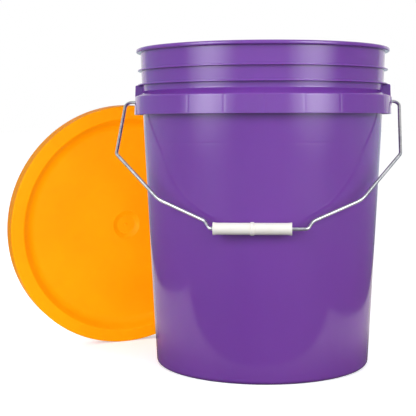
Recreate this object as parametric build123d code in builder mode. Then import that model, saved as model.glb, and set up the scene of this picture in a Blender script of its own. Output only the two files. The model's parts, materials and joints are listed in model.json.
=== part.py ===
"""Plastic fermenting bucket: a tapered pail, its wire bail with a tube grip, and its lid with a gasket.

Millimetres, +Z up. The origin is the centre of the pail's base, on the floor. The bail's pivot line runs
along X, and the bail hangs towards -Y. The lid is off the pail: it stands on its edge and leans on the
pail from behind, with its top face towards -Y.
"""

import os
from math import cos, degrees, radians, sin

from build123d import *

# Pail: heights of its rings and radii of its outer surface
HEIGHT = 375.0
WALL = 2.3
BASE_R = 127.7
SHOULDER_R = 142.1
NECK_R = 144.8
BEAD_R = 150.0
BEAD_UNDERSIDE_Z = 370.5
FOOT_RISE = 3.0
FOOT_R = 119.0
FOOT_CORNER = 5.0
BEAD_TOP_ROUND = 2.2
BEAD_UNDER_ROUND = 1.4
MOUTH_ROUND = 1.2

# Neck rings: two thin flanges that the lid's skirt and a stacked pail stop on
RING_R = 148.2
RING_THICKNESS = 1.6
UPPER_RING_Z = 349.0
LOWER_RING_Z = 332.2
RING_TOP_ROUND = 0.6
RING_UNDER_ROUND = 0.4

# Skirt: a hanging collar that stiffens the neck and carries the bail
SKIRT_BOTTOM_Z = 298.0
SKIRT_BOTTOM_R = 152.6
SKIRT_EDGE_Z = 319.0
SKIRT_EDGE_R = 151.6
SLOPE_TOP_Z = 325.5
SKIRT_WALL = 2.2
SLOPE_DROP = 2.75
SKIRT_EDGE_ROUND = 2.0
SLOPE_ROOT_ROUND = 3.0
GUSSETS = 22
GUSSET_TURN = 2.4
GUSSET_THICKNESS = 1.6
GUSSET_BOTTOM_Z = 300.0

# Bail ears: closed boxes in the skirt at +X and -X, one gusset step wide
EAR_TOP_Z = LOWER_RING_Z + RING_THICKNESS
EAR_TOP_R = 151.2
EAR_TOP_FALL = 1.5
EAR_WALL = 1.8
PIVOT_Z = 313.0
BOSS_R = 6.0
BOSS_FACE = 153.0
PIVOT_HOLE_R = 2.5

# Bail: one bent wire, measured in its own plane from the pivot line. Its arms are sprung towards -X: they
# stand that much less far out on the +X side and that much further out on the -X side
WIRE_R = 1.9
HANG_ANGLE = 46.1
HOOK_X = 146.4
HOOK_LENGTH = 9.0
ARM_X = 163.4
ARM_SWAY = 1.2
ELBOW_X = 162.2
ELBOW_DROP = 87.0
ELBOW_SWAY = 4.2
KNEE_X = 111.6
KNEE_DROP = 157.0
NECK_X = 58.5
NECK_DROP = 188.0
GRIP_BEND_X = 52.5
GRIP_DROP = 199.3
BEND_RADII = [3.2, 8.0, 9.0, 30.0, 8.0, 5.0]

# Grip: a tube that turns on the wire, resting near the -X end of the straight part
GRIP_LENGTH = 85.0
GRIP_START_X = -49.0
GRIP_R = 6.4
GRIP_BORE_R = 2.3
GRIP_FLARE_R = 7.1
GRIP_FLARE_LENGTH = 6.0
GRIP_FLARE_SLOPE = 0.42
GRIP_RING_R = 7.2
GRIP_RING_WIDTH = 4.0
GRIP_END_ROUND = 0.5
GRIP_SMALL_ROUND = 0.3

# Lid: radii, and depths below its top face
LID_R = 155.6
LID_WALL = 2.2
LID_DEPTH = 20.0
LID_EDGE = 1.5
LID_LAND_R = 139.4
LID_PANEL_R = 129.6
LID_PANEL_DEPTH = 9.0
LID_DIMPLE_R = 18.3
LID_DIMPLE_FLAT_R = 12.2
LID_DIMPLE_DEPTH = 11.6
LID_NUB_R = 1.6
LID_NUB_HEIGHT = 0.8
LID_WEB_SETBACK = 1.0
LID_LAND_ROUND = 3.0
LID_PANEL_ROUND = 16.0
LID_DIMPLE_ROUND = 1.5
LID_RIM_ROUND = 0.8
PLUG_R = 142.0
PLUG_DEPTH = 14.0
LEDGE_R = 149.3
LEDGE_DEPTH = 9.2
LEDGE_HEIGHT = 6.0
LID_GUSSETS = 24
LID_GUSSET_THICKNESS = 1.6
GASKET_INNER_R = 144.0
GASKET_OUTER_R = 150.6
GASKET_THICKNESS = 3.0
GASKET_ROUND = 1.0

# Where the lid leans: turned so that its -X side comes forward, its top edge tipped onto the pail
LID_TURN = 30.0
LID_LEAN = 5.0
LID_X = -175.0
LID_Y = 79.5


def wall_r(z):
    """Outer radius of the pail's wall at height z: two straight tapers that meet at the skirt's foot."""
    if z <= SKIRT_BOTTOM_Z:
        return BASE_R + (SHOULDER_R - BASE_R) * z / SKIRT_BOTTOM_Z
    share = (z - SKIRT_BOTTOM_Z) / (BEAD_UNDERSIDE_Z - SKIRT_BOTTOM_Z)
    return SHOULDER_R + (NECK_R - SHOULDER_R) * share


def skirt_r(z):
    """Outer radius of the skirt at height z."""
    share = (z - SKIRT_BOTTOM_Z) / (SKIRT_EDGE_Z - SKIRT_BOTTOM_Z)
    return SKIRT_BOTTOM_R + (SKIRT_EDGE_R - SKIRT_BOTTOM_R) * share


def radial_plane(angle):
    """The half plane through the Z axis at an angle from +X: sketch x is the radius, sketch y is Z."""
    a = radians(angle)
    return Plane(origin=(0, 0, 0), x_dir=(cos(a), sin(a), 0), z_dir=(sin(a), -cos(a), 0))


def corner(sketch, x, y):
    """The corner of a sketch that lies at x, y."""
    return sketch.vertices().sort_by_distance((x, y, 0))[0]


# ---------------------------------------------------------------- pail
gusset_step = 360.0 / GUSSETS
ear_half_angle = gusset_step / 2
ear_side_angle = degrees(EAR_WALL / SKIRT_EDGE_R)

with BuildPart() as pail:
    with BuildSketch(Plane.XZ) as pail_section:
        with BuildLine():
            Polyline(
                (0, FOOT_RISE),
                (FOOT_R - WALL, FOOT_RISE),
                (FOOT_R, 0),
                (BASE_R, 0),
                (SHOULDER_R, SKIRT_BOTTOM_Z),
                (NECK_R, BEAD_UNDERSIDE_Z),
                (BEAD_R, BEAD_UNDERSIDE_Z),
                (BEAD_R, HEIGHT),
                (NECK_R - WALL, HEIGHT),
                (SHOULDER_R - WALL, SKIRT_BOTTOM_Z),
                (BASE_R - WALL, WALL),
                (FOOT_R, WALL),
                (FOOT_R - FOOT_RISE, WALL + FOOT_RISE),
                (0, WALL + FOOT_RISE),
                close=True,
            )
        make_face()
        for ring_z in (UPPER_RING_Z, LOWER_RING_Z):
            with BuildLine():
                Polyline(
                    (wall_r(ring_z) - WALL / 2, ring_z),
                    (RING_R, ring_z),
                    (RING_R, ring_z + RING_THICKNESS),
                    (wall_r(ring_z) - WALL / 2, ring_z + RING_THICKNESS),
                    close=True,
                )
            make_face()
        with BuildLine():
            Polyline(
                (wall_r(SLOPE_TOP_Z) - WALL / 2, SLOPE_TOP_Z),
                (wall_r(SLOPE_TOP_Z), SLOPE_TOP_Z),
                (SKIRT_EDGE_R, SKIRT_EDGE_Z),
                (SKIRT_BOTTOM_R, SKIRT_BOTTOM_Z),
                (SKIRT_BOTTOM_R - SKIRT_WALL, SKIRT_BOTTOM_Z),
                (SKIRT_EDGE_R - SKIRT_WALL, SKIRT_EDGE_Z - SKIRT_WALL / 2),
                (wall_r(SLOPE_TOP_Z) - WALL / 2, SLOPE_TOP_Z - SLOPE_DROP),
                close=True,
            )
        make_face()
        fillet(corner(pail_section, BASE_R, 0), FOOT_CORNER)
        fillet(corner(pail_section, BASE_R - WALL, WALL), FOOT_CORNER - WALL)
        fillet(corner(pail_section, BEAD_R, HEIGHT), BEAD_TOP_ROUND)
        fillet(corner(pail_section, BEAD_R, BEAD_UNDERSIDE_Z), BEAD_UNDER_ROUND)
        fillet(corner(pail_section, NECK_R - WALL, HEIGHT), MOUTH_ROUND)
        fillet(corner(pail_section, SKIRT_EDGE_R, SKIRT_EDGE_Z), SKIRT_EDGE_ROUND)
        fillet(corner(pail_section, wall_r(SLOPE_TOP_Z), SLOPE_TOP_Z), SLOPE_ROOT_ROUND)
        for ring_z in (UPPER_RING_Z, LOWER_RING_Z):
            fillet(corner(pail_section, RING_R, ring_z), RING_UNDER_ROUND)
            fillet(corner(pail_section, RING_R, ring_z + RING_THICKNESS), RING_TOP_ROUND)
    revolve(axis=Axis.Z)

    # Gussets tie the skirt to the wall; the ears' side walls stand in for the two beside each ear
    for number in range(GUSSETS):
        angle = gusset_step * (number + 0.5) + GUSSET_TURN
        beside_ear = number in (0, GUSSETS // 2 - 1, GUSSETS // 2, GUSSETS - 1)
        if beside_ear:
            continue
        with BuildSketch(radial_plane(angle)):
            with BuildLine():
                Polyline(
                    (wall_r(GUSSET_BOTTOM_Z) - WALL / 2, GUSSET_BOTTOM_Z),
                    (skirt_r(GUSSET_BOTTOM_Z) - SKIRT_WALL / 2, GUSSET_BOTTOM_Z),
                    (skirt_r(SKIRT_EDGE_Z) - SKIRT_WALL / 2, SKIRT_EDGE_Z - SKIRT_WALL / 2),
                    (wall_r(SLOPE_TOP_Z) - WALL / 2, SLOPE_TOP_Z - SLOPE_DROP / 2),
                    close=True,
                )
            make_face()
        extrude(amount=GUSSET_THICKNESS / 2, both=True)

    for side_angle in (0, 180):
        # The ear's block, then the room inside it, open below
        with BuildSketch(radial_plane(side_angle - ear_half_angle)):
            with BuildLine():
                Polyline(
                    (wall_r(SKIRT_BOTTOM_Z) - WALL / 2, SKIRT_BOTTOM_Z),
                    (SKIRT_BOTTOM_R, SKIRT_BOTTOM_Z),
                    (EAR_TOP_R, EAR_TOP_Z - EAR_TOP_FALL),
                    (wall_r(EAR_TOP_Z) - WALL / 2, EAR_TOP_Z),
                    close=True,
                )
            make_face()
        revolve(axis=Axis.Z, revolution_arc=2 * ear_half_angle)
        with BuildSketch(radial_plane(side_angle - ear_half_angle + ear_side_angle)):
            with BuildLine():
                Polyline(
                    (wall_r(SKIRT_BOTTOM_Z), SKIRT_BOTTOM_Z),
                    (SKIRT_BOTTOM_R - SKIRT_WALL, SKIRT_BOTTOM_Z),
                    (EAR_TOP_R - EAR_WALL, LOWER_RING_Z - EAR_TOP_FALL),
                    (wall_r(LOWER_RING_Z), LOWER_RING_Z),
                    close=True,
                )
            make_face()
        revolve(axis=Axis.Z, revolution_arc=2 * (ear_half_angle - ear_side_angle), mode=Mode.SUBTRACT)
        side = cos(radians(side_angle))
        ear_face = Plane(origin=(side * (EAR_TOP_R - EAR_WALL), 0, PIVOT_Z), z_dir=(side, 0, 0))
        with Locations(ear_face):
            boss_height = BOSS_FACE - EAR_TOP_R + EAR_WALL
            Cylinder(BOSS_R, boss_height, align=(Align.CENTER, Align.CENTER, Align.MIN))
            Cylinder(
                PIVOT_HOLE_R,
                2 * boss_height,
                align=(Align.CENTER, Align.CENTER, Align.CENTER),
                mode=Mode.SUBTRACT,
            )

pail.part.label = "pail"

# ---------------------------------------------------------------- bail
hang = radians(HANG_ANGLE)
bail_plane = Plane(origin=(0, 0, PIVOT_Z), x_dir=(1, 0, 0), z_dir=(0, -cos(hang), sin(hang)))


def half_route(sway_side):
    """The wire's corners from a hook to the grip, at +X; sway_side is 1 at +X and -1 at -X."""
    return [
        (HOOK_X, HOOK_LENGTH),
        (HOOK_X, 0),
        (ARM_X - ARM_SWAY * sway_side, 0),
        (ELBOW_X - ELBOW_SWAY * sway_side, -ELBOW_DROP),
        (KNEE_X, -KNEE_DROP),
        (NECK_X, -NECK_DROP),
        (GRIP_BEND_X, -GRIP_DROP),
    ]


left_half = [(-x, y) for x, y in reversed(half_route(-1))]

with BuildPart() as bail:
    with BuildLine(bail_plane) as bail_route:
        FilletPolyline(*half_route(1), *left_half, radius=BEND_RADII + BEND_RADII[::-1])
    hook_end = Plane(origin=bail_route.line @ 0, z_dir=bail_route.line % 0)
    with BuildSketch(hook_end):
        Circle(WIRE_R)
    sweep()

bail.part.label = "bail_wire"

# ---------------------------------------------------------------- grip
grip_axis_start = bail_plane.from_local_coords(Vector(GRIP_START_X, -GRIP_DROP, 0))
grip_section_plane = Plane(origin=grip_axis_start, x_dir=(1, 0, 0), z_dir=bail_plane.z_dir)
ring_start = (GRIP_LENGTH - GRIP_RING_WIDTH) / 2

with BuildPart() as grip:
    with BuildSketch(grip_section_plane) as grip_section:
        with BuildLine():
            Line((0, GRIP_BORE_R), (0, GRIP_FLARE_R))
            TangentArc((0, GRIP_FLARE_R), (GRIP_FLARE_LENGTH, GRIP_R), tangent=(1, -GRIP_FLARE_SLOPE))
            Polyline(
                (GRIP_FLARE_LENGTH, GRIP_R),
                (ring_start, GRIP_R),
                (ring_start, GRIP_RING_R),
                (ring_start + GRIP_RING_WIDTH, GRIP_RING_R),
                (ring_start + GRIP_RING_WIDTH, GRIP_R),
                (GRIP_LENGTH - GRIP_FLARE_LENGTH, GRIP_R),
            )
            TangentArc(
                (GRIP_LENGTH, GRIP_FLARE_R),
                (GRIP_LENGTH - GRIP_FLARE_LENGTH, GRIP_R),
                tangent=(-1, -GRIP_FLARE_SLOPE),
            )
            Polyline((GRIP_LENGTH, GRIP_FLARE_R), (GRIP_LENGTH, GRIP_BORE_R), (0, GRIP_BORE_R))
        make_face()
        for ring_x in (ring_start, ring_start + GRIP_RING_WIDTH):
            fillet(corner(grip_section, ring_x, GRIP_RING_R), GRIP_SMALL_ROUND)
        for end_x in (0, GRIP_LENGTH):
            fillet(corner(grip_section, end_x, GRIP_FLARE_R), GRIP_END_ROUND)
            fillet(corner(grip_section, end_x, GRIP_BORE_R), GRIP_SMALL_ROUND)
    revolve(axis=Axis(grip_axis_start, (1, 0, 0)))

grip.part.label = "grip"

# ---------------------------------------------------------------- lid
turn = radians(LID_TURN)
lean = radians(LID_LEAN)
lid_z = (LID_R - LID_EDGE) * cos(lean) + LID_EDGE * (1 - sin(lean))
lid_across = Vector(cos(turn), sin(turn), 0)
lid_up = Vector(sin(turn) * cos(lean), -cos(turn) * cos(lean), -sin(lean))
lid_section_plane = Plane(origin=(LID_X, LID_Y, lid_z), x_dir=lid_across, z_dir=lid_across.cross(lid_up))
lid_axis = Axis((LID_X, LID_Y, lid_z), lid_up)


def lid_radial_plane(angle):
    """The half plane through the lid's axis at an angle from its section plane."""
    across = lid_across.rotate(Axis((0, 0, 0), lid_up), angle)
    return Plane(origin=lid_section_plane.origin, x_dir=across, z_dir=across.cross(lid_up))


with BuildPart() as lid:
    with BuildSketch(lid_section_plane) as lid_section:
        with BuildLine():
            Polyline(
                (0, -LID_DIMPLE_DEPTH),
                (LID_DIMPLE_FLAT_R, -LID_DIMPLE_DEPTH),
                (LID_DIMPLE_R, -LID_PANEL_DEPTH),
                (LID_PANEL_R, -LID_PANEL_DEPTH),
                (LID_LAND_R, 0),
                (LID_R, 0),
                (LID_R, -LID_DEPTH),
                (LID_R - LID_WALL, -LID_DEPTH),
                (LID_R - LID_WALL, -LEDGE_DEPTH - LEDGE_HEIGHT),
                (LEDGE_R, -LEDGE_DEPTH - LID_EDGE),
                (LEDGE_R, -LEDGE_DEPTH),
                (LID_R - LID_WALL, -LEDGE_DEPTH),
                (LID_R - LID_WALL, -LID_WALL),
                (PLUG_R, -LID_WALL),
                (PLUG_R, -PLUG_DEPTH + LID_WALL),
                (PLUG_R - LID_WALL / 2, -PLUG_DEPTH),
                (PLUG_R - LID_WALL, -PLUG_DEPTH),
                (PLUG_R - LID_WALL, -LID_WALL - LID_WEB_SETBACK),
                (LID_PANEL_R + LID_WEB_SETBACK, -LID_PANEL_DEPTH - LID_WALL),
                (LID_DIMPLE_R + LID_WEB_SETBACK, -LID_PANEL_DEPTH - LID_WALL),
                (LID_DIMPLE_FLAT_R + LID_WEB_SETBACK, -LID_DIMPLE_DEPTH - LID_WALL),
                (0, -LID_DIMPLE_DEPTH - LID_WALL),
                close=True,
            )
        make_face()
        with Locations((LID_NUB_R / 2, -LID_DIMPLE_DEPTH)):
            Rectangle(LID_NUB_R, 2 * LID_NUB_HEIGHT)
        fillet(corner(lid_section, LID_R, 0), LID_EDGE)
        fillet(corner(lid_section, LID_LAND_R, 0), LID_LAND_ROUND)
        fillet(corner(lid_section, LID_PANEL_R, -LID_PANEL_DEPTH), LID_PANEL_ROUND)
        fillet(corner(lid_section, LID_DIMPLE_R, -LID_PANEL_DEPTH), LID_DIMPLE_ROUND)
        fillet(corner(lid_section, LID_DIMPLE_FLAT_R, -LID_DIMPLE_DEPTH), LID_DIMPLE_ROUND)
        fillet(corner(lid_section, LID_R, -LID_DEPTH), LID_RIM_ROUND)
    revolve(axis=lid_axis)

    # Gussets in the groove under the step, between the plug and the panel
    for number in range(LID_GUSSETS):
        with BuildSketch(lid_radial_plane(360.0 / LID_GUSSETS * number)):
            with BuildLine():
                Polyline(
                    (LID_PANEL_R, -LID_PANEL_DEPTH - LID_WALL / 2),
                    (PLUG_R - LID_WALL / 2, -LID_WALL / 2),
                    (PLUG_R - LID_WALL / 2, -PLUG_DEPTH + LID_WALL),
                    close=True,
                )
            make_face()
        extrude(amount=LID_GUSSET_THICKNESS / 2, both=True)

lid.part.label = "lid"

# ---------------------------------------------------------------- gasket
with BuildPart() as gasket:
    with BuildSketch(lid_section_plane) as gasket_section:
        with Locations(((GASKET_INNER_R + GASKET_OUTER_R) / 2, -LID_WALL - GASKET_THICKNESS / 2)):
            Rectangle(GASKET_OUTER_R - GASKET_INNER_R, GASKET_THICKNESS)
        for ring_x in (GASKET_INNER_R, GASKET_OUTER_R):
            fillet(corner(gasket_section, ring_x, -LID_WALL - GASKET_THICKNESS), GASKET_ROUND)
    revolve(axis=lid_axis)

gasket.part.label = "lid_gasket"

# ---------------------------------------------------------------- files
os.makedirs("parts", exist_ok=True)
for piece in (pail, bail, grip, lid, gasket):
    export_step(piece.part, f"parts/{piece.part.label}.step")
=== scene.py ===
"""Plastic fermenting bucket: the visual model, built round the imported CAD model.

The pail, its bail and grip, and the lid with its gasket are modelled again in fine meshes on the CAD
pieces' own outlines, and get procedural materials. Outlines are in millimetres and MM turns them into
metres; places come from the frame.
"""

import json
from math import acos, ceil, cos, exp, hypot, pi, radians, sin, tan

import bmesh
import bpy
from mathutils import Matrix, Vector


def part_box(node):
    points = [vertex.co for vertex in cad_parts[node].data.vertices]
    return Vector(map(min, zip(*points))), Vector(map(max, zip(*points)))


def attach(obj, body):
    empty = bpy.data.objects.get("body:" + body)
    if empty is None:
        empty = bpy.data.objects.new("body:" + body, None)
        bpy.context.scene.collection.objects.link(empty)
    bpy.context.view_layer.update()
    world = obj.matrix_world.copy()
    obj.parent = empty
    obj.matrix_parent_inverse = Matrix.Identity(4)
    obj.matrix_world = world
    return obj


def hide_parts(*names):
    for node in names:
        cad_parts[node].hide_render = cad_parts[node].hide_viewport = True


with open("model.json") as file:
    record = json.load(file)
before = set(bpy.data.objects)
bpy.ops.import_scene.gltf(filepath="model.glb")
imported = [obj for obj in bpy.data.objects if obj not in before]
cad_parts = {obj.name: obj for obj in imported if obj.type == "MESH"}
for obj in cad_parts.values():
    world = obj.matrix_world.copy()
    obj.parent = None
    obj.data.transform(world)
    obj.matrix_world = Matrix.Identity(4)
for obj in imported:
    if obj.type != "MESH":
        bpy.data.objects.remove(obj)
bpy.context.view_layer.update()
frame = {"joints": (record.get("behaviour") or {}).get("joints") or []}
joints = {joint["name"]: joint for joint in frame["joints"]}

MM = 0.001

# Pail: outer radii, and heights above the floor
PAIL_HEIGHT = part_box("pail")[1].z / MM
WALL = 2.3
BASE_R = 127.7
SHOULDER_R = 142.1
NECK_R = 144.8
BEAD_R = 150.0
BEAD_UNDERSIDE_Z = PAIL_HEIGHT - 4.5
FOOT_RISE = 3.0
FOOT_R = 119.0
FOOT_CORNER = 5.0
FOOT_ROUND = 0.8
WALL_ROOT_ROUND = 0.8
BEAD_ROOT_ROUND = 0.4
BEAD_UNDER_ROUND = 1.4
BEAD_TOP_ROUND = 2.2
MOUTH_ROUND = 1.2
RING_R = 148.2
RING_THICKNESS = 1.6
UPPER_RING_Z = 349.0
LOWER_RING_Z = 332.2
RING_ROOT_ROUND = 0.3
RING_UNDER_ROUND = 0.4
RING_TOP_ROUND = 0.6

# Skirt, its gussets and the ears that hold the bail
SKIRT_BOTTOM_Z = 298.0
SKIRT_BOTTOM_R = 152.6
SKIRT_EDGE_Z = 319.0
SKIRT_EDGE_R = 151.6
SLOPE_TOP_Z = 325.5
SLOPE_DROP = 2.75
SLOPE_ROOT_ROUND = 3.0
SKIRT_EDGE_ROUND = 2.0
SKIRT_FOOT_ROUND = 0.5
MOULD_LINES = (9.5, 266.0)
MOULD_LINE_WIDTH = 0.7
MOULD_LINE_DEPTH = 0.025
SKIRT_WALL = 2.2
GUSSETS = 22
GUSSET_TURN = radians(2.4)
GUSSET_THICKNESS = 1.6
GUSSET_BOTTOM_Z = 300.0
SINK_DEPTH = 0.12
SINK_WIDTH = 1.3
SINK_STEP = 0.0045  # radians between the close points over a sink line
LEAST_STEP = 0.002  # radians; points nearer than this are left out
EAR_TOP_Z = LOWER_RING_Z + RING_THICKNESS
EAR_TOP_R = 151.2
EAR_TOP_FALL = 1.5
EAR_WALL = 1.8
EAR_TOP_ROUND = 1.4
BOSS_R = 6.0
BOSS_FACE = 153.0
PIVOT_HOLE_R = 2.5
BOSS_INSET = 0.8
BOSS_ROUND = 0.6
PIVOT_HOLE_ROUND = 0.4
HOLE_CUT = (140.0, 160.0)  # how far from the axis the hole's cutter starts and ends

# Bail wire, in its own plane: distance to the side, drop below the pivot line, bend radius, and how far
# the corner is sprung towards -X
PIVOT_Z = joints["bail_swing"]["pos_m"][2] / MM
WIRE_R = 1.9
ARM_SWAY = 1.2
ELBOW_SWAY = 4.2
BAIL_ROUTE = [
    (146.4, -9.0, 0.0, 0.0),
    (146.4, 0.0, 3.2, 0.0),
    (163.4, 0.0, 8.0, ARM_SWAY),
    (162.2, 87.0, 9.0, ELBOW_SWAY),
    (111.6, 157.0, 30.0, 0.0),
    (58.5, 188.0, 8.0, 0.0),
    (52.5, 199.3, 5.0, 0.0),
]

# Grip
GRIP_LENGTH = 85.0
GRIP_R = 6.4
GRIP_BORE_R = 2.3
GRIP_FLARE_R = 7.1
GRIP_FLARE_LENGTH = 6.0
GRIP_RING_R = 7.2
GRIP_RING_WIDTH = 4.0
GRIP_END_ROUND = 0.6
GRIP_RING_ROUND = 0.5
GRIP_SMALL_ROUND = 0.4
PARTING_HEIGHT = 0.07
PARTING_HALF_ANGLE = 0.05

# Lid: radii, and depths below its top face
LID_R = 155.6
LID_WALL = 2.2
LID_DEPTH = 20.0
LID_EDGE = 1.5
LID_LAND_R = 139.4
LID_PANEL_R = 129.6
LID_PANEL_DEPTH = 9.0
LID_PANEL_ROUND = 16.0
LID_LAND_ROUND = 3.0
LID_UNDER_ROUND = 2.0
LID_RIM_ROUND = 0.8
LID_INNER_RIM_ROUND = 0.6
LID_CHANNEL_ROUND = 0.5
LID_FINE_ROUND = 0.3
LID_WEB_SETBACK = 1.0
LID_DIMPLE_SETBACK = 0.6
LID_DIMPLE_R = 18.3
LID_DIMPLE_FLAT_R = 12.2
LID_DIMPLE_DEPTH = 11.6
LID_DIMPLE_ROUND = 1.5
LID_NUB_R = 1.6
LID_NUB_HEIGHT = 0.8
PLUG_R = 142.0
PLUG_DEPTH = 14.0
PLUG_TIP_ROUND = 0.4
LEDGE_R = 149.3
LEDGE_DEPTH = 9.2
LEDGE_HEIGHT = 6.0
LEDGE_FOOT_ROUND = 0.8
LEDGE_LIP_ROUND = 0.4
LID_GUSSETS = 24
LID_GUSSET_THICKNESS = 1.6
LID_TURN = radians(30.0)
LID_LEAN = radians(5.0)
GASKET_INNER_R = 144.0
GASKET_OUTER_R = 150.6
GASKET_THICKNESS = 3.0
GASKET_ROUND = 1.0
GASKET_TOP_ROUND = 0.2


def wall_r(z):
    """Outer radius of the pail's wall: two straight tapers that meet at the skirt's foot."""
    if z <= SKIRT_BOTTOM_Z:
        return BASE_R + (SHOULDER_R - BASE_R) * z / SKIRT_BOTTOM_Z
    share = (z - SKIRT_BOTTOM_Z) / (BEAD_UNDERSIDE_Z - SKIRT_BOTTOM_Z)
    return SHOULDER_R + (NECK_R - SHOULDER_R) * share


def skirt_r(z):
    """Outer radius of the skirt."""
    share = (z - SKIRT_BOTTOM_Z) / (SKIRT_EDGE_Z - SKIRT_BOTTOM_Z)
    return SKIRT_BOTTOM_R + (SKIRT_EDGE_R - SKIRT_BOTTOM_R) * share


# ---------------------------------------------------------------- mesh tools
def rounded(corners, closed=True, step=radians(9)):
    """A line of (x, y) points through corners of (x, y, radius), with an arc at each that has a radius."""
    points = []
    count = len(corners)
    for i, (x, y, radius) in enumerate(corners):
        end = not closed and i in (0, count - 1)
        if not radius or end:
            points.append((x, y))
            continue
        here = Vector((x, y))
        before = (Vector(corners[i - 1][:2]) - here).normalized()
        after = (Vector(corners[(i + 1) % count][:2]) - here).normalized()
        half = acos(max(-1.0, min(1.0, before.dot(after)))) / 2
        centre = here + (before + after).normalized() * (radius / sin(half))
        start = here + before * (radius / tan(half)) - centre
        turn = pi - 2 * half
        if before.cross(after) > 0:
            turn = -turn
        pieces = max(2, ceil(abs(turn) / step))
        for k in range(pieces + 1):
            a = turn * k / pieces
            points.append(
                (
                    centre.x + start.x * cos(a) - start.y * sin(a),
                    centre.y + start.x * sin(a) + start.y * cos(a),
                )
            )
    return points


def held(points, closed=True, margin=0.5, longest=14.0):
    """Adds points to an outline's long straight runs: one near each end, so that a flat face shades flat,
    and enough between them to follow a shape function."""
    filled = []
    pairs = list(zip(points, points[1:]))
    if closed:
        pairs.append((points[-1], points[0]))
    for (x0, y0), (x1, y1) in pairs:
        filled.append((x0, y0))
        length = hypot(x1 - x0, y1 - y0)
        if length < 4 * margin:
            continue
        middles = ceil((length - 2 * margin) / longest)
        for k in range(middles + 1):
            share = (margin + (length - 2 * margin) * k / middles) / length
            filled.append((x0 + (x1 - x0) * share, y0 + (y1 - y0) * share))
    if not closed:
        filled.append(points[-1])
    return filled


def new_object(name, mesh_data, slot, body, node, smooth_angle=32.0):
    """Turns a bmesh in millimetres into an object in metres that rides on a body and replaces a CAD node."""
    bmesh.ops.recalc_face_normals(mesh_data, faces=mesh_data.faces)
    mesh = bpy.data.meshes.new(name)
    mesh_data.to_mesh(mesh)
    mesh_data.free()
    mesh.transform(Matrix.Scale(MM, 4))
    mesh.materials.append(MATERIALS[slot])
    mesh.shade_smooth()
    mesh.set_sharp_from_angle(angle=radians(smooth_angle))
    piece = bpy.data.objects.new(name, mesh)
    bpy.context.scene.collection.objects.link(piece)
    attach(piece, body)
    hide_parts(node)
    return piece


def even_angles(count, start=0.0, end=2 * pi):
    """Evenly spaced angles; the last one is left out of a full turn."""
    full = abs(end - start - 2 * pi) < 1e-9
    steps = count if full else count - 1
    return [start + (end - start) * k / steps for k in range(count)]


def lathe(outline, angles, full=True, shape=None, place=None, into=None):
    """Turns a closed outline of (radius, height) about Z through the angles. A part turn gets end caps."""
    mesh_data = into or bmesh.new()
    place = place or Matrix.Identity(4)
    rings = []
    for a in angles:
        ring = []
        for r, z in outline:
            if shape:
                r, z = shape(r, z, a)
            ring.append(mesh_data.verts.new(place @ Vector((r * cos(a), r * sin(a), z))))
        rings.append(ring)
    pairs = list(zip(rings, rings[1:] + rings[:1])) if full else list(zip(rings, rings[1:]))
    size = len(outline)
    for one, other in pairs:
        for i in range(size):
            j = (i + 1) % size
            mesh_data.faces.new((one[i], one[j], other[j], other[i]))
    if not full:
        mesh_data.faces.new(rings[0])
        mesh_data.faces.new(list(reversed(rings[-1])))
    on_axis = [v for ring in rings for v, (r, _) in zip(ring, outline) if r < 1e-6]
    if on_axis:
        bmesh.ops.remove_doubles(mesh_data, verts=on_axis, dist=1e-5)
    return mesh_data


def plate(outline, thickness, place, into=None):
    """A flat plate with an (x, z) outline and its thickness along the local Y axis, centred on Y = 0."""
    mesh_data = into or bmesh.new()
    sides = []
    for y in (-thickness / 2, thickness / 2):
        sides.append([mesh_data.verts.new(place @ Vector((x, y, z))) for x, z in outline])
    near, far = sides
    mesh_data.faces.new(near)
    mesh_data.faces.new(list(reversed(far)))
    for i in range(len(outline)):
        j = (i + 1) % len(outline)
        mesh_data.faces.new((near[i], far[i], far[j], near[j]))
    return mesh_data


def sweep(route, radius, sides=20, end_round=0.5):
    """A round bar along a flat route of points, with a small rounded edge at both ends."""
    mesh_data = bmesh.new()
    tangents = []
    for i in range(len(route)):
        before = route[max(i - 1, 0)]
        after = route[min(i + 1, len(route) - 1)]
        tangents.append((after - before).normalized())
    flat_normal = None
    for one, other in zip(tangents, tangents[1:]):
        if one.cross(other).length > 1e-3:
            flat_normal = one.cross(other).normalized()
            break
    stations = [(route[0], tangents[0], radius - end_round)]
    stations.append((route[0] + tangents[0] * end_round, tangents[0], radius))
    stations += [(p, t, radius) for p, t in zip(route[1:-1], tangents[1:-1])]
    stations.append((route[-1] - tangents[-1] * end_round, tangents[-1], radius))
    stations.append((route[-1], tangents[-1], radius - end_round))
    rings = []
    for point, tangent, r in stations:
        across = tangent.cross(flat_normal).normalized()
        ring = []
        for k in range(sides):
            a = 2 * pi * k / sides
            ring.append(mesh_data.verts.new(point + across * (r * cos(a)) + flat_normal * (r * sin(a))))
        rings.append(ring)
    for one, other in zip(rings, rings[1:]):
        for k in range(sides):
            m = (k + 1) % sides
            mesh_data.faces.new((one[k], one[m], other[m], other[k]))
    mesh_data.faces.new(rings[0])
    mesh_data.faces.new(list(reversed(rings[-1])))
    return mesh_data


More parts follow.
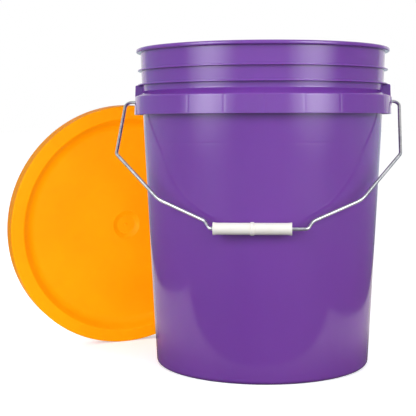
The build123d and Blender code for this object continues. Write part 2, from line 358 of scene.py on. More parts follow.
def carve(mesh_data, cutters):
    """A mesh with other closed meshes cut out of it."""
    block = bpy.data.objects.new("carved", bpy.data.meshes.new("carved"))
    bmesh.ops.recalc_face_normals(mesh_data, faces=mesh_data.faces)
    mesh_data.to_mesh(block.data)
    mesh_data.free()
    bpy.context.scene.collection.objects.link(block)
    tools = []
    for cutter in cutters:
        tool = bpy.data.objects.new("cutter", bpy.data.meshes.new("cutter"))
        bmesh.ops.recalc_face_normals(cutter, faces=cutter.faces)
        cutter.to_mesh(tool.data)
        cutter.free()
        bpy.context.scene.collection.objects.link(tool)
        cut = block.modifiers.new("cut", "BOOLEAN")
        cut.object = tool
        cut.operation = "DIFFERENCE"
        cut.solver = "EXACT"
        tools.append(tool)
    carved = bmesh.new()
    carved.from_object(block, bpy.context.evaluated_depsgraph_get())
    for thing in tools + [block]:
        mesh = thing.data
        bpy.data.objects.remove(thing)
        bpy.data.meshes.remove(mesh)
    return carved


# ---------------------------------------------------------------- material tools
class Shader:
    """A procedural material on one Principled shader, with short helpers for its nodes."""

    def __init__(self, name, **constants):
        self.material = bpy.data.materials.new(name)
        self.material.use_nodes = True
        self.tree = self.material.node_tree
        self.surface = self.tree.nodes["Principled BSDF"]
        for label, value in constants.items():
            self.surface.inputs[label.replace("_", " ")].default_value = value
        self.place = self.node("ShaderNodeTexCoord").outputs["Object"]

    def node(self, kind, **settings):
        made = self.tree.nodes.new(kind)
        for label, value in settings.items():
            if hasattr(made, label):
                setattr(made, label, value)
            else:
                self.put(made.inputs[label.replace("_", " ")], value)
        return made

    def put(self, socket, value):
        if isinstance(value, bpy.types.NodeSocket):
            self.tree.links.new(value, socket)
        else:
            socket.default_value = value

    def stretched(self, scale):
        """The object's coordinates, scaled along each axis."""
        mapping = self.node("ShaderNodeMapping", Scale=scale)
        self.put(mapping.inputs["Vector"], self.place)
        return mapping.outputs["Vector"]

    def noise(self, scale, detail=3.0, roughness=0.5, place=None):
        made = self.node("ShaderNodeTexNoise", Scale=scale, Detail=detail, Roughness=roughness)
        self.put(made.inputs["Vector"], place or self.place)
        return made.outputs["Fac"]

    def ranged(self, value, low, high, to_low, to_high, smooth=False):
        made = self.node("ShaderNodeMapRange")
        if smooth:
            made.interpolation_type = "SMOOTHSTEP"
        labels = ("Value", "From Min", "From Max", "To Min", "To Max")
        for label, number in zip(labels, (value, low, high, to_low, to_high)):
            self.put(made.inputs[label], number)
        return made.outputs["Result"]

    def maths(self, operation, *values):
        made = self.node("ShaderNodeMath", operation=operation)
        for socket, value in zip(made.inputs, values):
            self.put(socket, value)
        return made.outputs["Value"]

    def mixed(self, factor, one, other):
        made = self.node("ShaderNodeMix", data_type="RGBA")
        self.put(made.inputs["Factor"], factor)
        colours = [socket for socket in made.inputs if socket.type == "RGBA"]
        for socket, value in zip(colours, (one, other)):
            self.put(socket, value)
        return next(socket for socket in made.outputs if socket.type == "RGBA")

    def height(self):
        """Height above the floor, from the object's own coordinates."""
        split = self.node("ShaderNodeSeparateXYZ")
        self.put(split.inputs["Vector"], self.place)
        return split.outputs["Z"]

    def bump(self, height, distance, strength=1.0, after=None):
        made = self.node("ShaderNodeBump", Strength=strength, Distance=distance)
        self.put(made.inputs["Height"], height)
        if after:
            self.put(made.inputs["Normal"], after)
        return made.outputs["Normal"]

    def connect(self, **sockets):
        for label, value in sockets.items():
            self.put(self.surface.inputs[label.replace("_", " ")], value)
        return self.material


def pail_plastic():
    """Glossy purple polyethylene: faint pigment swirls, drawn flow lines, scuffs round the foot."""
    shader = Shader("pail_plastic", IOR=1.54, Subsurface_Weight=0.25, Subsurface_Scale=0.008)
    shader.surface.inputs["Subsurface Radius"].default_value = (1.0, 0.1, 0.5)
    swirl = shader.noise(9.0, detail=4.0, place=shader.stretched((1.0, 1.0, 0.45)))
    tint = shader.ranged(swirl, 0.3, 0.7, 0.0, 1.0, smooth=True)
    colour = shader.mixed(tint, (0.136, 0.036, 0.256, 1.0), (0.150, 0.042, 0.274, 1.0))
    handling = shader.noise(38.0, detail=5.0)
    scuffed = shader.maths(
        "MULTIPLY",
        shader.ranged(shader.height(), 0.003, 0.02, 1.0, 0.0, smooth=True),
        shader.ranged(shader.noise(220.0, detail=2.0), 0.45, 0.62, 0.0, 1.0),
    )
    polish = shader.ranged(handling, 0.3, 0.75, 0.09, 0.15)
    rough = shader.maths("ADD", polish, shader.maths("MULTIPLY", scuffed, 0.08))
    flow = shader.noise(1.0, detail=2.0, place=shader.stretched((190.0, 190.0, 3.0)))
    waves = shader.noise(14.0, detail=1.0)
    normal = shader.bump(waves, 0.0006, 0.5)
    normal = shader.bump(flow, 0.00003, 0.5, after=normal)
    normal = shader.bump(shader.noise(1300.0, detail=1.0), 0.00001, 0.4, after=normal)
    return shader.connect(Base_Color=colour, Roughness=rough, Normal=normal)


def lid_plastic():
    """Orange polyethylene: a satin, faintly clouded surface with very little gloss."""
    shader = Shader(
        "lid_plastic",
        IOR=1.5,
        Specular_IOR_Level=0.06,
        Subsurface_Weight=0.3,
        Subsurface_Scale=0.008,
    )
    shader.surface.inputs["Subsurface Radius"].default_value = (1.0, 0.45, 0.05)
    cloud = shader.ranged(shader.noise(11.0, detail=4.0), 0.3, 0.7, 0.0, 1.0, smooth=True)
    colour = shader.mixed(cloud, (1.0, 0.30, 0.0, 1.0), (1.0, 0.33, 0.0005, 1.0))
    rough = shader.ranged(shader.noise(60.0, detail=5.0), 0.3, 0.75, 0.42, 0.55)
    normal = shader.bump(shader.noise(16.0, detail=2.0), 0.0006, 0.5)
    normal = shader.bump(shader.noise(900.0, detail=2.0), 0.00003, 0.5, after=normal)
    return shader.connect(Base_Color=colour, Roughness=rough, Normal=normal)


def grip_plastic():
    """Warm white polypropylene with a fine moulded grain and faint soiled patches."""
    shader = Shader("grip_plastic", IOR=1.49, Subsurface_Weight=0.25, Subsurface_Scale=0.003)
    shader.surface.inputs["Subsurface Radius"].default_value = (1.0, 0.9, 0.7)
    soil = shader.ranged(shader.noise(120.0, detail=5.0), 0.55, 0.8, 0.0, 0.3)
    colour = shader.mixed(soil, (0.72, 0.68, 0.60, 1.0), (0.60, 0.56, 0.47, 1.0))
    rough = shader.ranged(shader.noise(240.0), 0.3, 0.7, 0.32, 0.46)
    normal = shader.bump(shader.noise(1500.0, detail=2.0), 0.00003, 0.5)
    return shader.connect(Base_Color=colour, Roughness=rough, Normal=normal)


def bail_wire():
    """Galvanised steel wire: bright zinc with grey clouding, die lines and dull spots."""
    shader = Shader("bail_wire", Metallic=1.0)
    cloud = shader.ranged(shader.noise(150.0, detail=4.0), 0.35, 0.7, 0.0, 1.0)
    colour = shader.mixed(cloud, (0.66, 0.66, 0.65, 1.0), (0.44, 0.45, 0.47, 1.0))
    rough = shader.ranged(shader.noise(420.0, detail=4.0), 0.3, 0.7, 0.24, 0.42)
    normal = shader.bump(shader.noise(900.0, detail=3.0), 0.00005, 0.6)
    return shader.connect(Base_Color=colour, Roughness=rough, Normal=normal)


def gasket_rubber():
    """Pale matt foam rubber with open pores."""
    shader = Shader("gasket_rubber", IOR=1.45)
    pores = shader.ranged(shader.noise(1600.0, detail=3.0), 0.4, 0.6, 0.0, 1.0)
    colour = shader.mixed(pores, (0.50, 0.50, 0.47, 1.0), (0.68, 0.68, 0.64, 1.0))
    rough = shader.ranged(pores, 0.0, 1.0, 0.8, 0.65)
    return shader.connect(Base_Color=colour, Roughness=rough, Normal=shader.bump(pores, 0.0001, 0.7))


# What the table looks like to the things that stand on it: edges in metres, each with the width of its
# fade, and how far from the origin the shade round the foot and the dim floor reach. CAMERA_GLOW is how
# much the paper glows, for the camera only
TABLE_FRONT = -0.200
TABLE_LEFT = -0.52
TABLE_RIGHT = 0.385
TABLE_EDGES = (("Y", TABLE_FRONT, 0.015), ("X", TABLE_LEFT, 0.01), ("X", TABLE_RIGHT, -0.01))
FOOT_SHADE = (0.13, 0.30)
FLOOR_FADE = (0.6, 4.0)
CAMERA_GLOW = 0.4
TABLE_TONE = (0.92, 0.86, 0.76, 1.0)
FOOT_TONE = (0.20, 0.18, 0.15, 1.0)
NEAR_FLOOR = (0.12, 0.115, 0.12, 1.0)
FAR_FLOOR = (0.80, 0.92, 1.0, 1.0)


def table_paper():
    """White paper for the camera. What stands on it sees a warm white table, shaded round the foot, that
    ends just in front of the pail and on both sides, with a floor beyond that is dim near the table."""
    shader = Shader("table_paper", Roughness=0.8)
    grain = shader.noise(400.0, detail=3.0)
    white = shader.mixed(grain, (0.88, 0.88, 0.88, 1.0), (0.92, 0.92, 0.92, 1.0))
    split = shader.node("ShaderNodeSeparateXYZ")
    shader.put(split.inputs["Vector"], shader.place)
    distance = shader.node("ShaderNodeVectorMath", operation="LENGTH")
    shader.put(distance.inputs[0], shader.place)
    distance = distance.outputs["Value"]
    table = 1.0
    for axis, edge, fade in TABLE_EDGES:
        on_table = shader.ranged(split.outputs[axis], edge, edge + fade, 0.0, 1.0)
        table = shader.maths("MULTIPLY", table, on_table)
    near_foot = shader.ranged(distance, *FOOT_SHADE, 1.0, 0.0, smooth=True)
    away = shader.ranged(distance, *FLOOR_FADE, 0.0, 1.0)
    floor_tone = shader.mixed(away, NEAR_FLOOR, FAR_FLOOR)
    lit = shader.mixed(table, floor_tone, shader.mixed(near_foot, TABLE_TONE, FOOT_TONE))
    camera_ray = shader.node("ShaderNodeLightPath").outputs["Is Camera Ray"]
    glow = shader.maths("MULTIPLY", camera_ray, CAMERA_GLOW)
    shader.surface.inputs["Emission Color"].default_value = (1.0, 1.0, 1.0, 1.0)
    return shader.connect(Base_Color=shader.mixed(camera_ray, lit, white), Emission_Strength=glow)


MATERIALS = {
    "pail_plastic": pail_plastic(),
    "lid_plastic": lid_plastic(),
    "grip_plastic": grip_plastic(),
    "bail_wire": bail_wire(),
    "gasket_rubber": gasket_rubber(),
}

# ---------------------------------------------------------------- pail
gusset_step = 2 * pi / GUSSETS
gusset_angles = [gusset_step * (number + 0.5) + GUSSET_TURN for number in range(GUSSETS)]
ear_half = gusset_step / 2


def waver(r, z, a):
    """The pail is not quite round: a tenth of a millimetre of slow waviness, and two faint mould lines."""
    if r < FOOT_R:
        return r, z
    wave = 0.10 * sin(2 * a + 0.7) + 0.06 * sin(3 * a + z / 70.0) + 0.03 * sin(5 * a - z / 45.0)
    line = sum(exp(-(((z - line_z) / MOULD_LINE_WIDTH) ** 2)) for line_z in MOULD_LINES)
    return r + wave * min(1.0, z / 40.0) - MOULD_LINE_DEPTH * line, z


def sunk(r, z, a):
    """The skirt's face with a sink line over each gusset."""
    r, z = waver(r, z, a)
    nearest = min(abs((a - g + pi) % (2 * pi) - pi) for g in gusset_angles)
    return r - SINK_DEPTH * exp(-((nearest * r / SINK_WIDTH) ** 2)), z


def wall_points(z_low, z_high):
    """The wall's corners from one height to another, with close ones over each mould line."""
    spread = (-2, -1, -0.5, 0, 0.5, 1, 2)
    heights = [line_z + k * MOULD_LINE_WIDTH for line_z in MOULD_LINES for k in spread]
    return [(wall_r(z), z, 0) for z in sorted(heights) if z_low < z < z_high]


def ring_points(z):
    """The corners of a neck ring whose underside is at z."""
    top = z + RING_THICKNESS
    return [
        (wall_r(z), z, RING_ROOT_ROUND),
        (RING_R, z, RING_UNDER_ROUND),
        (RING_R, top, RING_TOP_ROUND),
        (wall_r(top), top, WALL_ROOT_ROUND),
    ]


pail_outline = rounded(
    [
        (0, FOOT_RISE, 0),
        (FOOT_R - WALL, FOOT_RISE, FOOT_ROUND),
        (FOOT_R, 0, FOOT_ROUND),
        (BASE_R, 0, FOOT_CORNER),
        *wall_points(FOOT_CORNER, SKIRT_BOTTOM_Z),
        (SHOULDER_R, SKIRT_BOTTOM_Z, 0),
        *ring_points(LOWER_RING_Z),
        *ring_points(UPPER_RING_Z),
        (NECK_R, BEAD_UNDERSIDE_Z, BEAD_ROOT_ROUND),
        (BEAD_R, BEAD_UNDERSIDE_Z, BEAD_UNDER_ROUND),
        (BEAD_R, PAIL_HEIGHT, BEAD_TOP_ROUND),
        (NECK_R - WALL, PAIL_HEIGHT, MOUTH_ROUND),
        (SHOULDER_R - WALL, SKIRT_BOTTOM_Z, 0),
        (BASE_R - WALL, WALL, FOOT_CORNER - WALL),
        (FOOT_R, WALL, FOOT_ROUND),
        (FOOT_R - FOOT_RISE, WALL + FOOT_RISE, FOOT_ROUND),
        (0, WALL + FOOT_RISE, 0),
    ]
)
pail_shell = lathe(held(pail_outline), even_angles(256), shape=waver)
new_object("pail_shell", pail_shell, "pail_plastic", "pail", "pail")

# The skirt hangs from a slope that runs into the wall with a small fillet, and stops at both ears
skirt_outline = rounded(
    [
        (wall_r(LOWER_RING_Z), LOWER_RING_Z, 0),
        (wall_r(SLOPE_TOP_Z), SLOPE_TOP_Z, SLOPE_ROOT_ROUND),
        (SKIRT_EDGE_R, SKIRT_EDGE_Z, SKIRT_EDGE_ROUND),
        (SKIRT_BOTTOM_R, SKIRT_BOTTOM_Z, SKIRT_FOOT_ROUND),
        (SKIRT_BOTTOM_R - SKIRT_WALL, SKIRT_BOTTOM_Z, SKIRT_FOOT_ROUND),
        (SKIRT_EDGE_R - SKIRT_WALL, SKIRT_EDGE_Z - SKIRT_WALL / 2, 0),
        (wall_r(SLOPE_TOP_Z) - WALL / 2, SLOPE_TOP_Z - SLOPE_DROP, 0),
    ],
    closed=False,
)
fillet_top = skirt_outline[1][1]
skirt_outline[0] = (wall_r(fillet_top) - WALL / 2, fillet_top)
skirt_outline = held(skirt_outline)


def skirt_angles(start, end):
    """Evenly spread angles, with closer ones over each gusset for its sink line."""
    fine = [g + offset * SINK_STEP for g in gusset_angles for offset in (-4, -3, -2, -1, 0, 1, 2, 3, 4)]
    fine += [g + 2 * pi for g in fine]
    angles = even_angles(100, start, end) + [a for a in fine if start < a < end]
    kept = []
    for a in sorted(angles):
        if not kept or a - kept[-1] > LEAST_STEP:
            kept.append(a)
    kept[-1] = end
    return kept


for half, start in (("back", ear_half), ("front", pi + ear_half)):
    angles = skirt_angles(start, start + pi - 2 * ear_half)
    collar = lathe(skirt_outline, angles, full=False, shape=sunk)
    new_object(f"skirt_{half}", collar, "pail_plastic", "pail", "pail")

gusset_outline = [
    (wall_r(GUSSET_BOTTOM_Z) - WALL / 2, GUSSET_BOTTOM_Z),
    (skirt_r(GUSSET_BOTTOM_Z) - SKIRT_WALL / 2, GUSSET_BOTTOM_Z),
    (skirt_r(SKIRT_EDGE_Z) - SKIRT_WALL / 2, SKIRT_EDGE_Z - SKIRT_WALL / 2),
    (wall_r(SLOPE_TOP_Z) - WALL / 2, SLOPE_TOP_Z - SLOPE_DROP / 2),
]
webs = bmesh.new()
beside_ear = (0, GUSSETS // 2 - 1, GUSSETS // 2, GUSSETS - 1)
for number, a in enumerate(gusset_angles):
    if number not in beside_ear:
        plate(gusset_outline, GUSSET_THICKNESS, Matrix.Rotation(a, 4, "Z"), into=webs)
new_object("skirt_gussets", webs, "pail_plastic", "pail", "pail")

# Each ear is a box open below, with a bossed hole for the wire
ear_outline = rounded(
    [
        (wall_r(SKIRT_BOTTOM_Z) - WALL / 2, SKIRT_BOTTOM_Z, 0),
        (SKIRT_BOTTOM_R, SKIRT_BOTTOM_Z, SKIRT_FOOT_ROUND),
        (EAR_TOP_R, EAR_TOP_Z - EAR_TOP_FALL, EAR_TOP_ROUND),
        (wall_r(EAR_TOP_Z) - WALL / 2, EAR_TOP_Z, 0),
    ]
)
room_outline = [
    (wall_r(SKIRT_BOTTOM_Z) - WALL, SKIRT_BOTTOM_Z - WALL),
    (SKIRT_BOTTOM_R - SKIRT_WALL, SKIRT_BOTTOM_Z - WALL),
    (EAR_TOP_R - EAR_WALL, LOWER_RING_Z - EAR_TOP_FALL),
    (wall_r(LOWER_RING_Z) - WALL, LOWER_RING_Z),
]
boss_back = EAR_TOP_R - EAR_WALL + BOSS_INSET
boss_outline = rounded(
    [
        (PIVOT_HOLE_R, boss_back, 0),
        (BOSS_R, boss_back, 0),
        (BOSS_R, BOSS_FACE, BOSS_ROUND),
        (PIVOT_HOLE_R, BOSS_FACE, PIVOT_HOLE_ROUND),
    ]
)
hole_r = BOSS_R - BOSS_ROUND
hole_in, hole_out = HOLE_CUT
hole_outline = [(0, hole_in), (hole_r, hole_in), (hole_r, hole_out), (0, hole_out)]
ear_side = EAR_WALL / SKIRT_EDGE_R
for side, facing in (("right", 0.0), ("left", pi)):
    outward = Matrix.Rotation(pi / 2, 4, "Y")
    along = Matrix.Rotation(facing, 4, "Z") @ Matrix.Translation((0, 0, PIVOT_Z)) @ outward
    block = lathe(held(ear_outline), even_angles(24, facing - ear_half, facing + ear_half), full=False)
    inner_half = ear_half - ear_side
    room = lathe(room_outline, even_angles(24, facing - inner_half, facing + inner_half), full=False)
    hole = lathe(hole_outline, even_angles(32), place=along)
    ear = carve(block, [room, hole])
    lathe(boss_outline, even_angles(48), place=along, into=ear)
    new_object(f"bail_ear_{side}", ear, "pail_plastic", "pail", "pail")

# ---------------------------------------------------------------- bail and grip
grip_centre_line = Vector(joints["grip_spin"]["pos_m"]) / MM
pivot = Vector((0, 0, PIVOT_Z))
grip_line_drop = Vector((0, grip_centre_line.y, grip_centre_line.z)) - pivot
hang = grip_line_drop.normalized()
right_half = [(x - sway, drop, r) for x, drop, r, sway in BAIL_ROUTE]
left_half = [(-x - sway, drop, r) for x, drop, r, sway in reversed(BAIL_ROUTE)]
flat_route = rounded(right_half + left_half, closed=False, step=radians(7))
wire_route = [pivot + Vector((x, 0, 0)) + hang * drop for x, drop in flat_route]
new_object("bail", sweep(wire_route, WIRE_R), "bail_wire", "bail", "bail_wire")

ring_start = (GRIP_LENGTH - GRIP_RING_WIDTH) / 2
ring_end = ring_start + GRIP_RING_WIDTH


def flare(share):
    """The grip's end swells like a trumpet: share 0 is where the swelling starts, 1 the end face."""
    return GRIP_R + (GRIP_FLARE_R - GRIP_R) * share**2


flare_steps = [k / 6 for k in range(1, 6)]
near_flare = [(flare(s), GRIP_FLARE_LENGTH * (1 - s), 0) for s in reversed(flare_steps)]
far_flare = [(flare(s), GRIP_LENGTH - GRIP_FLARE_LENGTH * (1 - s), 0) for s in flare_steps]
grip_outline = rounded(
    [(GRIP_BORE_R, 0, GRIP_SMALL_ROUND), (GRIP_FLARE_R, 0, GRIP_END_ROUND)]
    + near_flare
    + [
        (GRIP_R, GRIP_FLARE_LENGTH, 0),
        (GRIP_R, ring_start, GRIP_SMALL_ROUND),
        (GRIP_RING_R, ring_start, GRIP_RING_ROUND),
        (GRIP_RING_R, ring_end, GRIP_RING_ROUND),
        (GRIP_R, ring_end, GRIP_SMALL_ROUND),
        (GRIP_R, GRIP_LENGTH - GRIP_FLARE_LENGTH, 0),
    ]
    + far_flare
    + [(GRIP_FLARE_R, GRIP_LENGTH, GRIP_END_ROUND), (GRIP_BORE_R, GRIP_LENGTH, GRIP_SMALL_ROUND)]
)


def parting(r, z, a):
    """Two fine parting lines along the moulded grip."""
    if r < GRIP_R - 0.5:
        return r, z
    nearest = min(abs((a - side + pi) % (2 * pi) - pi) for side in (0.0, pi))
    return r + PARTING_HEIGHT * exp(-((nearest / PARTING_HALF_ANGLE) ** 2)), z


grip_start = Vector((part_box("grip")[0].x / MM, grip_centre_line.y, grip_centre_line.z))
grip_place = Matrix.Translation(grip_start) @ Matrix.Rotation(pi / 2, 4, "Y")
near_parting = [s + k * 0.03 for s in (0.0, pi) for k in (-1.5, -1, -0.5, 0.5, 1, 1.5)]
grip_angles = sorted(even_angles(60) + near_parting)
grip_tube = lathe(held(grip_outline), grip_angles, shape=parting, place=grip_place)
new_object("grip_tube", grip_tube, "grip_plastic", "grip", "grip")

# ---------------------------------------------------------------- lid and gasket
lid_low, lid_high = (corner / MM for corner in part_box("lid"))
lid_across = Vector((cos(LID_TURN), sin(LID_TURN), 0))
lid_up = Vector((sin(LID_TURN) * cos(LID_LEAN), -cos(LID_TURN) * cos(LID_LEAN), -sin(LID_LEAN)))
lid_middle = (lid_low + lid_high) / 2 + lid_up * (LID_DEPTH / 2)
lid_middle.z = (LID_R - LID_EDGE) * cos(LID_LEAN) + LID_EDGE * (1 - sin(LID_LEAN))
lid_place = Matrix.Translation(lid_middle) @ Matrix(
    (lid_across, lid_up.cross(lid_across), lid_up)
).transposed().to_4x4()

lid_outline = rounded(
    [
        (0, -LID_DIMPLE_DEPTH + LID_NUB_HEIGHT, 0),
        (LID_NUB_R, -LID_DIMPLE_DEPTH + LID_NUB_HEIGHT, LID_FINE_ROUND),
        (LID_NUB_R, -LID_DIMPLE_DEPTH, LID_FINE_ROUND),
        (LID_DIMPLE_FLAT_R, -LID_DIMPLE_DEPTH, LID_DIMPLE_ROUND),
        (LID_DIMPLE_R, -LID_PANEL_DEPTH, LID_DIMPLE_ROUND),
        (LID_PANEL_R, -LID_PANEL_DEPTH, LID_PANEL_ROUND),
        (LID_LAND_R, 0, LID_LAND_ROUND),
        (LID_R, 0, LID_EDGE),
        (LID_R, -LID_DEPTH, LID_RIM_ROUND),
        (LID_R - LID_WALL, -LID_DEPTH, LID_INNER_RIM_ROUND),
        (LID_R - LID_WALL, -LEDGE_DEPTH - LEDGE_HEIGHT, LEDGE_FOOT_ROUND),
        (LEDGE_R, -LEDGE_DEPTH - LID_EDGE, LEDGE_LIP_ROUND),
        (LEDGE_R, -LEDGE_DEPTH, LID_FINE_ROUND),
        (LID_R - LID_WALL, -LEDGE_DEPTH, LID_FINE_ROUND),
        (LID_R - LID_WALL, -LID_WALL, LID_CHANNEL_ROUND),
        (PLUG_R, -LID_WALL, LID_CHANNEL_ROUND),
        (PLUG_R, -PLUG_DEPTH + LID_WALL, LID_CHANNEL_ROUND),
        (PLUG_R - LID_WALL / 2, -PLUG_DEPTH, PLUG_TIP_ROUND),
        (PLUG_R - LID_WALL, -PLUG_DEPTH, LID_FINE_ROUND),
        (PLUG_R - LID_WALL, -LID_WALL - LID_WEB_SETBACK, LID_FINE_ROUND),
        (LID_PANEL_R + LID_WEB_SETBACK, -LID_PANEL_DEPTH - LID_WALL, LID_UNDER_ROUND),
        (LID_DIMPLE_R + LID_DIMPLE_SETBACK, -LID_PANEL_DEPTH - LID_WALL, LID_DIMPLE_ROUND),
        (LID_DIMPLE_FLAT_R + LID_DIMPLE_SETBACK, -LID_DIMPLE_DEPTH - LID_WALL, LID_DIMPLE_ROUND),
        (0, -LID_DIMPLE_DEPTH - LID_WALL, 0),
    ]
)


def cupped(r, z, a):
    """The panel is slightly domed and the land waves a little, as a cooled moulding does."""
    dome = 0.25 * max(0.0, 1 - (r / LID_PANEL_R) ** 2)
    wave = 0.08 * sin(3 * a + 0.4) * (r / LID_R) ** 2
    return r, z + dome + wave


lid_shell = lathe(held(lid_outline), even_angles(240), shape=cupped, place=lid_place)
new_object("lid_shell", lid_shell, "lid_plastic", "lid", "lid")

lid_gusset_outline = [
    (LID_PANEL_R, -LID_PANEL_DEPTH - LID_WALL / 2),
    (PLUG_R - LID_WALL / 2, -LID_WALL / 2),
    (PLUG_R - LID_WALL / 2, -PLUG_DEPTH + LID_WALL),
]
webs = bmesh.new()
for a in even_angles(LID_GUSSETS):
    plate(lid_gusset_outline, LID_GUSSET_THICKNESS, lid_place @ Matrix.Rotation(a, 4, "Z"), into=webs)
new_object("lid_gussets", webs, "lid_plastic", "lid", "lid")

gasket_outline = rounded(
    [
        (GASKET_INNER_R, -LID_WALL, GASKET_TOP_ROUND),
        (GASKET_OUTER_R, -LID_WALL, GASKET_TOP_ROUND),
        (GASKET_OUTER_R, -LID_WALL - GASKET_THICKNESS, GASKET_ROUND),
        (GASKET_INNER_R, -LID_WALL - GASKET_THICKNESS, GASKET_ROUND),
    ]
)
gasket_ring = lathe(gasket_outline, even_angles(200), place=lid_place)
new_object("gasket_ring", gasket_ring, "gasket_rubber", "lid", "lid_gasket")

# ---------------------------------------------------------------- floor, light and camera
# Metres and watts; FOCAL_SHARE is the focal length over the sensor's width
FLOOR_SIZE = 60.0
SOFTBOX_COLOUR = (0.97, 1.0, 1.07)
SOFTBOX_DISTANCE = 1.9
SOFTBOX_WIDTH = 2.0
SOFTBOX_TOP = 1.6
SOFTBOX_WATTS = 85.0
LID_FILL_SIZE = (0.9, 0.5)
LID_FILL_WATTS = 24.0
LID_FILL_PLACE = (0.1, -1.5, 0.12)
FOCAL_SHARE = 2.451
SENSOR = 36.0
CAMERA_DISTANCE = 1.230
CAMERA_HEIGHT = 0.2866
CAMERA_SIDE = radians(1.5)
AIM_LEFT = radians(3.04)
AIM_DOWN = radians(4.70)
ROLL = radians(-0.17)

floor_data = bmesh.new()
bmesh.ops.create_grid(floor_data, x_segments=8, y_segments=8, size=FLOOR_SIZE / 2)
floor_mesh = bpy.data.meshes.new("floor")
floor_data.to_mesh(floor_mesh)
floor_data.free()
floor = bpy.data.objects.new("floor", floor_mesh)
bpy.context.scene.collection.objects.link(floor)
floor_mesh.materials.append(table_paper())

# The studio is white where the camera looks. What it lights sees a white backdrop behind the pail, a pale
# blue room behind the camera, and dimmer sides and ceiling
world = bpy.data.worlds.new("studio")
bpy.context.scene.world = world
world.use_nodes = True
tree = world.node_tree
looking = tree.nodes.new("ShaderNodeTexCoord")
flat = tree.nodes.new("ShaderNodeVectorMath")
flat.operation = "MULTIPLY"
flat.inputs[1].default_value = (1.0, 1.0, 0.0)
tree.links.new(looking.outputs["Generated"], flat.inputs[0])
compass = tree.nodes.new("ShaderNodeVectorMath")
compass.operation = "NORMALIZE"
tree.links.new(flat.outputs["Vector"], compass.inputs[0])
ways = tree.nodes.new("ShaderNodeSeparateXYZ")
tree.links.new(compass.outputs["Vector"], ways.inputs["Vector"])


def room_tone(start, end, share, tone, under):
    """Lays a tone over another where a share of the direction, given as a socket, runs from start to end."""
    step = tree.nodes.new("ShaderNodeMapRange")
    step.interpolation_type = "SMOOTHSTEP"
    step.inputs["From Min"].default_value = start
    step.inputs["From Max"].default_value = end
    tree.links.new(share, step.inputs["Value"])
    mix = tree.nodes.new("ShaderNodeMix")
    mix.data_type = "RGBA"
    sockets = [socket for socket in mix.inputs if socket.type == "RGBA"]
    tree.links.new(step.outputs["Result"], mix.inputs["Factor"])
    if isinstance(under, bpy.types.NodeSocket):
        tree.links.new(under, sockets[0])
    else:
        sockets[0].default_value = under
    sockets[1].default_value = tone
    return next(socket for socket in mix.outputs if socket.type == "RGBA")


ROOM_LEFT = (0.50, 0.58, 0.70, 1.0)
ROOM_RIGHT = (0.48, 0.46, 0.50, 1.0)
ROOM_FRONT = (0.85, 0.90, 1.0, 1.0)
BACKDROP = (1.0, 1.0, 1.0, 1.0)
CEILING = (0.7, 0.7, 0.7, 1.0)
tone = room_tone(-0.3, 0.3, ways.outputs["X"], ROOM_RIGHT, ROOM_LEFT)
tone = room_tone(-0.45, -0.95, ways.outputs["Y"], ROOM_FRONT, tone)
tone = room_tone(0.74, 0.80, ways.outputs["Y"], BACKDROP, tone)
rise = tree.nodes.new("ShaderNodeSeparateXYZ")
tree.links.new(looking.outputs["Generated"], rise.inputs["Vector"])
tone = room_tone(0.25, 0.8, rise.outputs["Z"], CEILING, tone)
room = tree.nodes["Background"]
tree.links.new(tone, room.inputs["Color"])
backdrop = tree.nodes.new("ShaderNodeBackground")
backdrop.inputs["Color"].default_value = (1.0, 1.0, 1.0, 1.0)
seen = tree.nodes.new("ShaderNodeLightPath")
choice = tree.nodes.new("ShaderNodeMixShader")
tree.links.new(seen.outputs["Is Camera Ray"], choice.inputs["Fac"])
tree.links.new(room.outputs["Background"], choice.inputs[1])
tree.links.new(backdrop.outputs["Background"], choice.inputs[2])
tree.links.new(choice.outputs["Shader"], tree.nodes["World Output"].inputs["Surface"])


def aimed(name, light, place, target):
    """Puts a light at a place, turned to a target."""
    lamp = bpy.data.objects.new(name, light)
    lamp.location = place
    lamp.rotation_euler = (Vector(target) - Vector(place)).to_track_quat("-Z", "Y").to_euler()
    bpy.context.scene.collection.objects.link(lamp)
    return lamp


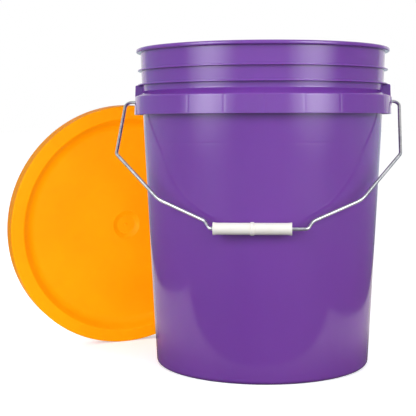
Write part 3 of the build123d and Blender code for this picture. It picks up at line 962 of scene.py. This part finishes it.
def softbox(name, azimuth, distance, width, bottom, top, watts):
    """An upright light panel that fades towards its edges, most of all towards its lower one."""
    light = bpy.data.lights.new(name, "AREA")
    light.shape = "RECTANGLE"
    light.size = width
    light.size_y = top - bottom
    light.energy = watts
    light.color = SOFTBOX_COLOUR
    light.use_nodes = True
    nodes = light.node_tree.nodes
    links = light.node_tree.links
    glow = nodes["Emission"]
    where = nodes.new("ShaderNodeNewGeometry")
    split = nodes.new("ShaderNodeSeparateXYZ")
    links.new(where.outputs["Parametric"], split.inputs["Vector"])
    factor = None
    for axis, low, high in (("X", 0.0, 0.5), ("X", 1.0, 0.5), ("Y", 0.0, 0.5), ("Y", 1.0, 0.9)):
        fade = nodes.new("ShaderNodeMapRange")
        fade.interpolation_type = "SMOOTHSTEP" if axis == "X" else "LINEAR"
        fade.inputs["From Min"].default_value = low
        fade.inputs["From Max"].default_value = high
        links.new(split.outputs[axis], fade.inputs["Value"])
        if factor is None:
            factor = fade.outputs["Result"]
            continue
        product = nodes.new("ShaderNodeMath")
        product.operation = "MULTIPLY"
        links.new(factor, product.inputs[0])
        links.new(fade.outputs["Result"], product.inputs[1])
        factor = product.outputs["Value"]
    links.new(factor, glow.inputs["Strength"])
    place = (distance * sin(azimuth), -distance * cos(azimuth), (bottom + top) / 2)
    lamp = aimed(name, light, place, (0, 0, (bottom + top) / 2))
    lamp.light_linking.receiver_collection = all_but_lid


# The lid has a lamp of its own, which only its own pieces shade. The two softboxes leave the lid alone,
# and the glossy pail doesn't mirror it
lid_pieces = bpy.data.collections.new("lid_pieces")
all_but_lid = bpy.data.collections.new("all_but_lid")
for name in ("lid_shell", "lid_gussets", "gasket_ring"):
    lid_pieces.objects.link(bpy.data.objects[name])
    all_but_lid.objects.link(bpy.data.objects[name])
    bpy.data.objects[name].visible_glossy = False
for member in all_but_lid.collection_objects:
    member.light_linking.link_state = "EXCLUDE"

for name, azimuth in (("softbox_left", radians(-46)), ("softbox_right", radians(47))):
    softbox(name, azimuth, SOFTBOX_DISTANCE, SOFTBOX_WIDTH, 0.0, SOFTBOX_TOP, SOFTBOX_WATTS)
lid_fill = bpy.data.lights.new("lid_fill", "AREA")
lid_fill.shape = "RECTANGLE"
lid_fill.size, lid_fill.size_y = LID_FILL_SIZE
lid_fill.energy = LID_FILL_WATTS
lid_lamp = aimed("lid_fill", lid_fill, LID_FILL_PLACE, lid_middle * MM)
lid_lamp.light_linking.receiver_collection = lid_pieces
lid_lamp.light_linking.blocker_collection = lid_pieces

camera_data = bpy.data.cameras.new("camera")
camera_data.sensor_width = SENSOR
camera_data.lens = SENSOR * FOCAL_SHARE
camera_data.clip_start = 0.05
camera_data.clip_end = 100.0
camera = bpy.data.objects.new("camera", camera_data)
camera.location = (
    CAMERA_DISTANCE * sin(CAMERA_SIDE),
    -CAMERA_DISTANCE * cos(CAMERA_SIDE),
    CAMERA_HEIGHT,
)
heading = CAMERA_SIDE + AIM_LEFT
turn = Matrix.Rotation(heading, 3, "Z")
tilt = Matrix.Rotation(pi / 2 - AIM_DOWN, 3, "X")
camera.rotation_euler = (turn @ tilt @ Matrix.Rotation(ROLL, 3, "Z")).to_euler()
bpy.context.scene.collection.objects.link(camera)
bpy.context.scene.camera = camera
bpy.context.scene.view_settings.view_transform = "Standard"
